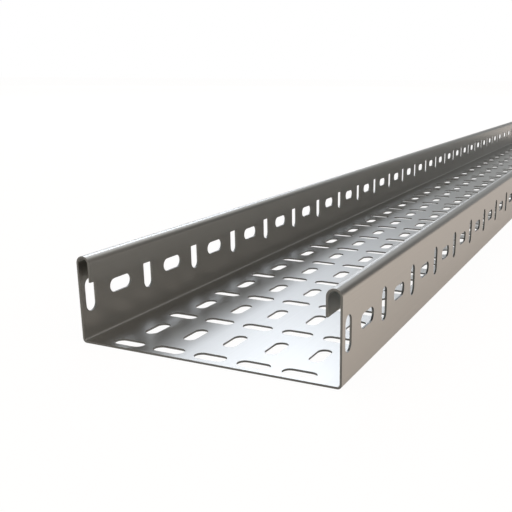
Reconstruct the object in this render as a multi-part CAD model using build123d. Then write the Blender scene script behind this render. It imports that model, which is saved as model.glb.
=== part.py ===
# One length of perforated cable tray. A single steel sheet is punched flat and folded into a
# channel. Each side wall ends in an edge that is rolled inwards and runs down again as a short
# return leg. Both ends are plain square cuts.
# Millimetres. X runs across the tray, Y along it and Z up. The origin is the middle of the
# underside.
from build123d import *
import os
from math import floor, sqrt

# The folded section
tray_length = 2000.0
tray_width = 200.0
wall_height = 64.0
sheet = 1.5
corner_radius = 1.5  # inside the fold under each wall
roll_radius = 4.0  # inside the rolled edge on top of each wall
return_leg = 13.0  # straight run below the rolled edge

# The punching: one size of slot, in rows that lie along and across the tray by turns
slot_length = 24.5
slot_width = 10.5
grid = 100 / 3  # from slot to slot both ways, three to every 100 mm
first_row = 10.0  # from the near end to the middle of the first row
end_land = 5.0  # least metal between the far end and a slot
side_land = 15.0  # least metal between a side wall and a slot in the base
wall_slots = 33.5  # from the underside up to the middle of the slots in the walls
punch_run = 1.0  # how far a punch runs past each face of the sheet

# What follows from those sizes
half_width = tray_width / 2
near_end = -tray_length / 2
corner_outside = corner_radius + sheet
roll_outside = roll_radius + sheet
leg_foot = wall_height - roll_outside - return_leg
side_lines = floor((half_width - sheet - side_land - slot_length / 2) / grid)
line_places = [grid * number for number in range(-side_lines, side_lines + 1)]
rows = 1 + floor((tray_length - first_row - end_land - slot_length / 2) / grid)
row_places = [near_end + first_row + grid * number for number in range(rows)]
across_rows = row_places[0::2]
along_rows = row_places[1::2]
corner_cut = slot_width / (2 + sqrt(2))  # makes a slot's end half of a regular octagon


# One face of the sheet in the right half of the section, from the middle of the base to the foot
# of the leg: the outer face at depth 0, the inner one at the depth of the sheet.
def face_line(depth):
    base = Line((0, depth), (half_width - corner_outside, depth))
    corner = JernArc(base @ 1, base % 1, corner_outside - depth, 90)
    wall = Line(corner @ 1, (half_width - depth, wall_height - roll_outside))
    roll = JernArc(wall @ 1, wall % 1, roll_outside - depth, 180)
    leg = Line(roll @ 1, (half_width - 2 * roll_outside + depth, leg_foot))
    return base + corner + wall + roll + leg


def half_section():
    outer = face_line(0)
    inner = face_line(sheet)
    middle = Line(outer @ 0, inner @ 0)
    foot = Line(outer @ 1, inner @ 1)
    return make_face(outer + foot + inner + middle)


def folded_sheet():
    half = half_section()
    section = half + mirror(half, Plane.YZ)
    return extrude(Plane.XZ.offset(-near_end) * section, -tray_length)


# A punch for one slot, upright and centred on the sheet, with the slot along X. Where something
# is bolted to the tray the slot has its true round ends. The many others have three flats to
# each end, tangent to the same round, so their length and width are the real ones.
def slot_punch(round_ends):
    outline = SlotOverall(slot_length, slot_width)
    if not round_ends:
        outline = chamfer(Rectangle(slot_length, slot_width).vertices(), corner_cut)
    return extrude(outline, sheet / 2 + punch_run, both=True)


# The outermost slots of the first and last rows across the base take the bolts of a support.
def base_punches():
    punches = []
    level = sheet / 2
    for place in across_rows:
        at_end = place in (across_rows[0], across_rows[-1])
        for line in line_places:
            bolted = at_end and abs(line) == line_places[-1]
            punches.append(Pos(line, place, level) * (bolt_punch if bolted else punch))
    for place in along_rows:
        for line in line_places:
            punches.append(Pos(line, place, level) * Rot(0, 0, 90) * punch)
    return punches


# The two slots nearest each end that lie along a wall take the bolts of a splice plate.
def wall_punches():
    punches = []
    spliced = along_rows[:2] + along_rows[-2:]
    for side in (-1, 1):
        middle = side * (half_width - sheet / 2)
        for place in across_rows:
            punches.append(Pos(middle, place, wall_slots) * Rot(0, 90, 0) * punch)
        for place in along_rows:
            chosen = bolt_punch if place in spliced else punch
            punches.append(Pos(middle, place, wall_slots) * Rot(0, 90, 90) * chosen)
    return punches


punch = slot_punch(round_ends=False)
bolt_punch = slot_punch(round_ends=True)
cable_tray = folded_sheet().cut(*base_punches(), *wall_punches())
cable_tray.label = "cable_tray"
os.makedirs("parts", exist_ok=True)
export_step(cable_tray, "parts/cable_tray.step")
print(f"{rows} rows, {len(line_places)} lines, return legs down to {leg_foot:.2f} mm")
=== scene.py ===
from math import cos, pi, radians, sin

import bmesh
import bpy
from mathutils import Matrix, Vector


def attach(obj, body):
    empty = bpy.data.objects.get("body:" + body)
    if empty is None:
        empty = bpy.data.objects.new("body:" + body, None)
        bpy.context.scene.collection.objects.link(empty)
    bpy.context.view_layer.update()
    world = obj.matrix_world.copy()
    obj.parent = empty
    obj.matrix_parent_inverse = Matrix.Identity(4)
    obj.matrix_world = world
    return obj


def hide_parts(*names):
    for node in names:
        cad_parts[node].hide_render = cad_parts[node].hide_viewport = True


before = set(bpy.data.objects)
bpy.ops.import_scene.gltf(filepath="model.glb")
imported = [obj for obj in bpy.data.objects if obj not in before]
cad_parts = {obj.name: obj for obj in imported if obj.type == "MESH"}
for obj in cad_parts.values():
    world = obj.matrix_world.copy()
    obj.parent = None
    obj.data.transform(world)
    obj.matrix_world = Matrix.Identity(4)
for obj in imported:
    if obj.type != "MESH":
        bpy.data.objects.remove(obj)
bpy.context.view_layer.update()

print("frame loaded:", sorted(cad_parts))

# A length of perforated cable tray, punched and folded from one galvanised steel sheet.
# Metres, in the frame of the solid: X across, Y along, Z up, near end at y = -1.

mm = 0.001


def linear(hexColour):
    # sRGB hex to the linear values that a shader takes
    parts = [int(hexColour[i:i + 2], 16) / 255 for i in (1, 3, 5)]
    return [p / 12.92 if p <= 0.04045 else ((p + 0.055) / 1.055) ** 2.4 for p in parts] + [1]


def deselectAll():
    if bpy.context.object and bpy.context.object.mode != "OBJECT":
        bpy.ops.object.mode_set(mode="OBJECT")
    bpy.ops.object.select_all(action="DESELECT")


def work(piece):
    deselectAll()
    piece.select_set(True)
    bpy.context.view_layer.objects.active = piece


def edit(piece, kind="EDGE"):
    work(piece)
    bpy.ops.object.mode_set(mode="EDIT")
    bpy.ops.mesh.select_mode(type=kind)


def pickEdges(piece, test):
    # selects the free edges that have both ends where the test says
    shape = bmesh.from_edit_mesh(piece.data)
    bpy.ops.mesh.select_all(action="DESELECT")
    for edge in shape.edges:
        ends = edge.verts
        if edge.is_boundary and test(ends[0].co) and test(ends[1].co):
            edge.select_set(True)
    shape.select_flush_mode()
    bmesh.update_edit_mesh(piece.data)


def turnEdit(piece, angle, axis):
    edit(piece)
    bpy.ops.mesh.select_all(action="SELECT")
    bpy.ops.transform.rotate(value=angle, orient_axis=axis, center_override=(0, 0, 0))
    deselectAll()


def moveEdit(piece, way):
    edit(piece)
    bpy.ops.mesh.select_all(action="SELECT")
    bpy.ops.transform.translate(value=way)
    deselectAll()


def copyOf(piece, name):
    twin = bpy.data.objects.new(name, piece.data.copy())
    bpy.context.scene.collection.objects.link(twin)
    return twin


def joined(pieces):
    deselectAll()
    for piece in pieces:
        piece.select_set(True)
    bpy.context.view_layer.objects.active = pieces[0]
    bpy.ops.object.join()
    return bpy.context.object


def applyAll(piece):
    work(piece)
    for modifier in list(piece.modifiers):
        bpy.ops.object.modifier_apply(modifier=modifier.name)


# The camera, matched to the photo's edges and holes. Its shift is there because the photo is cut
# from a wider picture.
cameraSettings = {
    "place": (0.25322, -1.38061, 0.18524),
    "turn": (74.2302, -0.3098, 23.7172),  # degrees
    "lens": 51.214,
    "sensor": 36,
    "shift": (-0.12975, 0.04837),
    "clip": (0.01, 100),
}


def photoCamera(s):
    data = bpy.data.cameras.new("photoCamera")
    camera = bpy.data.objects.new("photoCamera", data)
    bpy.context.scene.collection.objects.link(camera)
    camera.location = s["place"]
    camera.rotation_euler = [radians(angle) for angle in s["turn"]]
    data.sensor_width = s["sensor"]
    data.lens = s["lens"]
    data.shift_x, data.shift_y = s["shift"]
    data.clip_start, data.clip_end = s["clip"]
    bpy.context.scene.camera = camera


photoCamera(cameraSettings)
print("camera set")

# The tray is modelled as its outer face, from one punched square of sheet that is repeated, and
# gets the thickness of the sheet at the end.
traySettings = {
    "length": 2000 * mm,
    "width": 200 * mm,
    "height": 64 * mm,
    "sheet": 1.5 * mm,
    "cornerRadius": 3.0 * mm,  # outside the fold under each wall
    "rollRadius": 5.5 * mm,  # outside the rolled edge
    "leg": 13 * mm,  # straight run below the rolled edge
    "slotLength": 24.5 * mm,
    "slotWidth": 10.5 * mm,
    "pitch": 100 * mm / 3,
    "firstRow": 10 * mm,  # from the near end to the middle of the first row
    "rows": 60,
    "lines": 5,  # along the base
    "wallSlots": 33.5 * mm,  # height of the middle of the slots in the walls
    "endSteps": 5,  # facets in a quarter of a slot's end
    "cornerSteps": 6,
    "rollSteps": 18,
    "close": 0.02 * mm,  # points this near to a place count as being there
    "merge": 0.01 * mm,  # points this near to each other become one while the rows are made
    "smoothAngle": 35,  # degrees
}


def slotCell(s):
    # one square of sheet with a slot across the tray, flat at the origin
    bpy.ops.mesh.primitive_plane_add(size=1)
    cell = bpy.context.object
    edit(cell, "VERT")
    bpy.ops.mesh.select_all(action="SELECT")
    bpy.ops.transform.resize(value=(s["slotLength"], s["slotWidth"], 1))
    bpy.ops.mesh.bevel(offset=s["slotWidth"] / 2, segments=s["endSteps"], affect="VERTICES",
                       clamp_overlap=False)
    bpy.ops.mesh.select_all(action="SELECT")
    bpy.ops.mesh.remove_doubles(threshold=s["merge"])
    bpy.ops.mesh.primitive_plane_add(size=s["pitch"])
    bpy.ops.mesh.select_all(action="SELECT")
    bpy.ops.mesh.delete(type="ONLY_FACE")
    bpy.ops.mesh.select_all(action="SELECT")
    bpy.ops.mesh.fill(use_beauty=True)
    deselectAll()
    return cell


def repeat(piece, count, way, merge):
    array = piece.modifiers.new("repeat", "ARRAY")
    array.count = count
    array.use_relative_offset = False
    array.use_constant_offset = True
    array.constant_offset_displace = way
    array.use_merge_vertices = True
    array.merge_threshold = merge
    applyAll(piece)


def trimEnds(tray, s):
    # the cells stop short of the far end and run past the near one by the same few millimetres
    nearCells = -s["length"] / 2 + s["firstRow"] - s["pitch"] / 2
    farCells = nearCells + s["rows"] * s["pitch"]
    for cellsEnd, trueEnd in ((nearCells, -s["length"] / 2), (farCells, s["length"] / 2)):
        edit(tray)
        pickEdges(tray, lambda v: abs(v.y - cellsEnd) < s["close"])
        bpy.ops.transform.translate(value=(0, trueEnd - cellsEnd, 0))
        deselectAll()


def extrudeBy(way):
    bpy.ops.mesh.extrude_region_move(TRANSFORM_OT_translate={"value": way})


def foldSide(tray, s, side):
    # the strips, folds and leg that join and finish one wall
    close = s["close"]
    half = s["width"] / 2
    lineEdge = s["lines"] * s["pitch"] / 2
    cornerMiddle = half - s["cornerRadius"]
    rollMiddle = half - s["rollRadius"]
    rollLevel = s["height"] - s["rollRadius"]
    wallLow = s["wallSlots"] - s["pitch"] / 2
    wallHigh = s["wallSlots"] + s["pitch"] / 2
    edit(tray)
    pickEdges(tray, lambda v: abs(v.x - side * lineEdge) < close and abs(v.z) < close)
    extrudeBy((side * (cornerMiddle - lineEdge), 0, 0))
    bpy.ops.mesh.spin(steps=s["cornerSteps"], angle=side * pi / 2, axis=(0, 1, 0),
                      center=(side * cornerMiddle, 0, s["cornerRadius"]))
    extrudeBy((0, 0, wallLow - s["cornerRadius"]))
    pickEdges(tray, lambda v: abs(v.x - side * half) < close and abs(v.z - wallHigh) < close)
    extrudeBy((0, 0, rollLevel - wallHigh))
    bpy.ops.mesh.spin(steps=s["rollSteps"], angle=side * pi, axis=(0, 1, 0),
                      center=(side * rollMiddle, 0, rollLevel))
    extrudeBy((0, 0, -s["leg"]))
    deselectAll()


def faceOutwards(tray, s):
    edit(tray)
    bpy.ops.mesh.select_all(action="SELECT")
    bpy.ops.mesh.remove_doubles(threshold=s["close"])
    bpy.ops.mesh.normals_make_consistent(inside=False)
    faces = bmesh.from_edit_mesh(tray.data).faces
    lowest = min(faces, key=lambda face: face.calc_center_median().z)
    if lowest.normal.z > 0:
        bpy.ops.mesh.flip_normals()
    deselectAll()


def makeTray(s):
    # one row across and one along, repeated down the length: the base has five such lines side by
    # side, and each wall one, turned up
    across = slotCell(s)
    along = copyOf(across, "along")
    turnEdit(along, pi / 2, "Z")
    moveEdit(along, (0, s["pitch"], 0))
    rows = joined([across, along])
    moveEdit(rows, (0, -s["length"] / 2 + s["firstRow"], 0))
    repeat(rows, s["rows"] // 2, (0, 2 * s["pitch"], 0), s["merge"])
    walls = []
    for side in (-1, 1):
        wall = copyOf(rows, "wall")
        turnEdit(wall, pi / 2, "Y")
        moveEdit(wall, (side * s["width"] / 2, 0, s["wallSlots"]))
        walls.append(wall)
    moveEdit(rows, (-(s["lines"] - 1) / 2 * s["pitch"], 0, 0))
    repeat(rows, s["lines"], (s["pitch"], 0, 0), s["merge"])
    tray = joined([rows, *walls])
    tray.name = "cableTray"
    trimEnds(tray, s)
    for side in (-1, 1):
        foldSide(tray, s, side)
    faceOutwards(tray, s)
    return tray


def thicken(tray, s):
    wallMaker = tray.modifiers.new("thickness", "SOLIDIFY")
    wallMaker.thickness = s["sheet"]
    wallMaker.offset = -1  # inwards from the outer face
    wallMaker.use_even_offset = True
    wallMaker.material_offset_rim = 1  # the cut edges take the second material
    applyAll(tray)
    work(tray)
    bpy.ops.object.shade_smooth_by_angle(angle=radians(s["smoothAngle"]))


def addNode(tree, kind, settings=None, links=None):
    # a number stands for the input at that place, where several share a name
    node = tree.nodes.new(kind)
    for name, value in (settings or {}).items():
        if isinstance(name, int) or name in node.inputs:
            node.inputs[name].default_value = value
        else:
            setattr(node, name, value)
    for name, source in (links or {}).items():
        tree.links.new(source, node.inputs[name])
    return node


def newMaterial(name):
    material = bpy.data.materials.new(name)
    material.use_nodes = True
    material.node_tree.nodes.clear()
    return material, material.node_tree


# Cold-rolled sheet with a hot-dip zinc coat, skin passed: smooth and satin, with a faint grain in
# the direction that the coil ran, so that reflections are soft but whole.
steelSettings = {
    "colour": "#b2b1ac",
    "grainColour": "#abaaa6",
    "edge": "#e0e2e4",  # at grazing angles
    "roughness": (0.30, 0.36),
    "grainWidth": 0.8 * mm,  # coarser than the real grain, which is too fine to show
    "grainLength": 160 * mm,
    "grainDetail": 3.0,
}


def zincCoatedSteel(s):
    material, tree = newMaterial("zincCoatedSteelSheet")
    place = addNode(tree, "ShaderNodeTexCoord")
    scale = (1 / s["grainWidth"], 1 / s["grainLength"], 1 / s["grainWidth"])
    mapping = addNode(tree, "ShaderNodeMapping", {"Scale": scale}, {"Vector": place.outputs["Object"]})
    grain = addNode(tree, "ShaderNodeTexNoise", {"Scale": 1.0, "Detail": s["grainDetail"]},
                    {"Vector": mapping.outputs["Vector"]})
    low, high = s["roughness"]
    rough = addNode(tree, "ShaderNodeMapRange", {"To Min": low, "To Max": high},
                    {"Value": grain.outputs["Fac"]})
    colour = addNode(tree, "ShaderNodeMix",
                     {"data_type": "RGBA", 6: linear(s["colour"]), 7: linear(s["grainColour"])},
                     {"Factor": grain.outputs["Fac"]})
    shader = addNode(tree, "ShaderNodeBsdfPrincipled",
                     {"Metallic": 1.0, "Specular Tint": linear(s["edge"])},
                     {"Base Color": colour.outputs[2], "Roughness": rough.outputs["Result"]})
    addNode(tree, "ShaderNodeOutputMaterial", {}, {"Surface": shader.outputs["BSDF"]})
    return material


# The cut edges of the sheet and its slots: bare steel, torn a little by the punch, so a little
# duller than the zinc. Their dark colour is painted shade, for the shade these narrow faces lie in.
cutPaintedShadeSettings = {
    # painted shade: the cut faces are given a dark colour in place of the shade they fall in
    "colour": "#666866",
    "roughness": (0.28, 0.44),
    "grit": 0.4 * mm,
    "gritDetail": 2.0,
}


def shearedEdgePaintedShade(s):
    material, tree = newMaterial("shearedSteelEdgePaintedShade")
    place = addNode(tree, "ShaderNodeTexCoord")
    grit = addNode(tree, "ShaderNodeTexNoise", {"Scale": 1 / s["grit"], "Detail": s["gritDetail"]},
                   {"Vector": place.outputs["Object"]})
    low, high = s["roughness"]
    rough = addNode(tree, "ShaderNodeMapRange", {"To Min": low, "To Max": high},
                    {"Value": grit.outputs["Fac"]})
    shader = addNode(tree, "ShaderNodeBsdfPrincipled",
                     # the dark base colour paints shade on the cut faces
                     {"Metallic": 1.0, "Base Color": linear(s["colour"])},
                     {"Roughness": rough.outputs["Result"]})
    addNode(tree, "ShaderNodeOutputMaterial", {}, {"Surface": shader.outputs["BSDF"]})
    return material


tray = makeTray(traySettings)
print("tray modelled:", len(tray.data.polygons), "faces before the thickness")
tray.data.materials.append(zincCoatedSteel(steelSettings))
tray.data.materials.append(shearedEdgePaintedShade(cutPaintedShadeSettings))
thicken(tray, traySettings)
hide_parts("cable_tray")
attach(tray, "root")
print("tray finished:", len(tray.data.polygons), "faces")


def mirroredRays(tree, path):
    # 1 for what metal or glass shows, otherwise 0
    either = addNode(tree, "ShaderNodeMath", {"operation": "MAXIMUM"},
                     {0: path.outputs["Is Glossy Ray"], 1: path.outputs["Is Transmission Ray"]})
    return either.outputs["Value"]


floorSettings = {
    "size": 60,
    "drop": 0.1 * mm,  # below the tray, so that the two faces don't fight
    "colour": "#f8e8da",
    "glow": 0.95,  # how much of the floor the camera sees as plain white
    "mirrored": 0.35,  # the same for what metal reflects, which keeps the floor's shadow
}


def studioFloor(s):
    deselectAll()
    bpy.ops.mesh.primitive_plane_add(size=s["size"], location=(0, 0, -s["drop"]))
    floor = bpy.context.object
    floor.name = "floor"
    material, tree = newMaterial("palePaper")
    path = addNode(tree, "ShaderNodeLightPath")
    dimmed = addNode(tree, "ShaderNodeMath", {"operation": "MULTIPLY", 1: s["mirrored"]},
                     {0: mirroredRays(tree, path)})
    share = addNode(tree, "ShaderNodeMath", {"operation": "MULTIPLY_ADD", 1: s["glow"]},
                    {0: path.outputs["Is Camera Ray"], 2: dimmed.outputs["Value"]})
    paper = addNode(tree, "ShaderNodeBsdfDiffuse", {"Color": linear(s["colour"])})
    glow = addNode(tree, "ShaderNodeEmission", {"Color": (1, 1, 1, 1), "Strength": 1.0})
    mix = addNode(tree, "ShaderNodeMixShader", {},
                  {"Fac": share.outputs["Value"], 1: paper.outputs["BSDF"],
                   2: glow.outputs["Emission"]})
    addNode(tree, "ShaderNodeOutputMaterial", {}, {"Surface": mix.outputs["Shader"]})
    floor.data.materials.append(material)


# The camera sees a white background. Metal reflects a studio that is dimmer at middle heights and
# has an upright dark part at the right back. Heights are given by their sine.
worldSettings = {
    "light": 1.0,  # on surfaces that don't reflect
    "darkBearing": 36,  # the middle of the dark part, in degrees from +Y towards +X
    "darkWidth": (26, 15),  # degrees to each side where it starts and where it is full
    "darkTop": (0.55, 0.85),  # where it starts to fade out upwards and where it is gone
    "darkLevel": 0.16,  # brightness where it is full
    "bands": ((0.0, 1.0), (0.08, 1.0), (0.17, 0.5), (0.3, 0.5), (0.6, 1.0)),  # height, brightness
}


def studioWorld(s):
    world = bpy.data.worlds.new("studio")
    bpy.context.scene.world = world
    world.use_nodes = True
    tree = world.node_tree
    tree.nodes.clear()
    place = addNode(tree, "ShaderNodeTexCoord")
    height = addNode(tree, "ShaderNodeSeparateXYZ", {}, {"Vector": place.outputs["Generated"]})
    level = addNode(tree, "ShaderNodeCombineXYZ", {},
                    {"X": height.outputs["X"], "Y": height.outputs["Y"]})
    unit = addNode(tree, "ShaderNodeVectorMath", {"operation": "NORMALIZE"},
                   {0: level.outputs["Vector"]})
    bearing = radians(s["darkBearing"])
    facing = addNode(tree, "ShaderNodeVectorMath",
                     {"operation": "DOT_PRODUCT", 1: (sin(bearing), cos(bearing), 0)},
                     {0: unit.outputs["Vector"]})
    outer, inner = [cos(radians(angle)) for angle in s["darkWidth"]]
    fade = addNode(tree, "ShaderNodeMapRange",
                   {"interpolation_type": "SMOOTHSTEP", "From Min": outer, "From Max": inner,
                    "To Min": 0.0, "To Max": 1 - s["darkLevel"]},
                   {"Value": facing.outputs["Value"]})
    full, gone = s["darkTop"]
    top = addNode(tree, "ShaderNodeMapRange",
                  {"interpolation_type": "SMOOTHSTEP", "From Min": full, "From Max": gone,
                   "To Min": 1.0, "To Max": 0.0},
                  {"Value": height.outputs["Z"]})
    dark = addNode(tree, "ShaderNodeMath", {"operation": "MULTIPLY"},
                   {0: fade.outputs["Result"], 1: top.outputs["Result"]})
    lit = addNode(tree, "ShaderNodeMath", {"operation": "SUBTRACT", 0: 1.0},
                  {1: dark.outputs["Value"]})
    bands = addNode(tree, "ShaderNodeValToRGB", {}, {"Fac": height.outputs["Z"]})
    ramp = bands.color_ramp
    ramp.interpolation = "EASE"
    for number, (position, brightness) in enumerate(s["bands"]):
        stop = ramp.elements[number] if number < 2 else ramp.elements.new(position)
        stop.position = position
        stop.color = (brightness, brightness, brightness, 1)
    shaded = addNode(tree, "ShaderNodeMath", {"operation": "MULTIPLY"},
                     {0: lit.outputs["Value"], 1: bands.outputs["Color"]})
    path = addNode(tree, "ShaderNodeLightPath")
    whole = addNode(tree, "ShaderNodeMath", {"operation": "MAXIMUM"},
                    {0: path.outputs["Is Camera Ray"], 1: shaded.outputs["Value"]})
    seen = addNode(tree, "ShaderNodeMath", {"operation": "MAXIMUM"},
                   {0: path.outputs["Is Camera Ray"], 1: mirroredRays(tree, path)})
    light = addNode(tree, "ShaderNodeBackground", {"Color": (1, 1, 1, 1), "Strength": s["light"]})
    shown = addNode(tree, "ShaderNodeBackground", {"Color": (1, 1, 1, 1)},
                    {"Strength": whole.outputs["Value"]})
    mix = addNode(tree, "ShaderNodeMixShader", {},
                  {"Fac": seen.outputs["Value"], 1: light.outputs["Background"],
                   2: shown.outputs["Background"]})
    addNode(tree, "ShaderNodeOutputWorld", {}, {"Surface": mix.outputs["Shader"]})


# A long strip overhead at the left, a low wide window at the left back and a weak warm lamp on
# the right.
lampSettings = {
    "strip": {"place": (-2.25, 3.05, 2.6), "target": (-2.25, 3.05, 0), "size": (1.8, 4.4),
              "power": 116, "colour": "#e7eefc"},
    "lowWindow": {"place": (-6, 9, 0.6), "target": (0, -0.5, 0.1), "size": (6, 0.9),
                  "power": 60, "colour": "#f2f6fa"},
    "warmSide": {"place": (3.0, -0.6, 2.0), "target": (0, -0.3, 0), "size": (2.0, 2.0),
                 "power": 36, "colour": "#ffe0c8"},
}


def softbox(name, s):
    data = bpy.data.lights.new(name, "AREA")
    data.shape = "RECTANGLE"
    data.size, data.size_y = s["size"]
    data.energy = s["power"]
    data.color = linear(s["colour"])[:3]
    lamp = bpy.data.objects.new(name, data)
    bpy.context.scene.collection.objects.link(lamp)
    lamp.location = s["place"]
    aim = Vector(s["target"]) - Vector(s["place"])
    lamp.rotation_euler = aim.to_track_quat("-Z", "Y").to_euler()
    lamp.visible_camera = False


studioFloor(floorSettings)
studioWorld(worldSettings)
for name, settings in lampSettings.items():
    softbox(name, settings)
bpy.context.scene.view_settings.view_transform = "Standard"
print("studio set")
